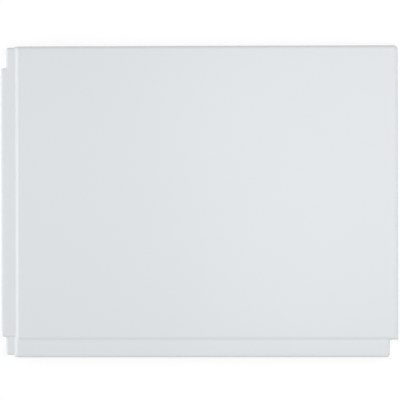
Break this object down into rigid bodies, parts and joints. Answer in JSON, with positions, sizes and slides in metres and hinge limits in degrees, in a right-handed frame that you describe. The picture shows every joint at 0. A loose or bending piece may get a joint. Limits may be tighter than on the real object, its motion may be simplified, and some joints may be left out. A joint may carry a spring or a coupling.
{
  "type": "bath end panel",
  "caption": "Moulded gloss white end panel for a bath: flat face, recessed toe plinth, joggled side strip with a tongue, and returns bent back all round to a hollow back.",
  "frame": {"origin": "middle of the panel's outline, on the floor that its trimmed rim lies on", "axes": "+X along the panel from the joggled strip to the wall-side return, +Y up the face from the plinth to the bath rim, +Z out of the show face"},
  "size_m": [0.688, 0.54, 0.04],
  "materials": {
    "gloss_white": "gloss show side, satin back, sawn rim"
  },
  "bodies": {
    "root": {"moulded_panel": "gloss_white"}
  },
  "joints": []
}
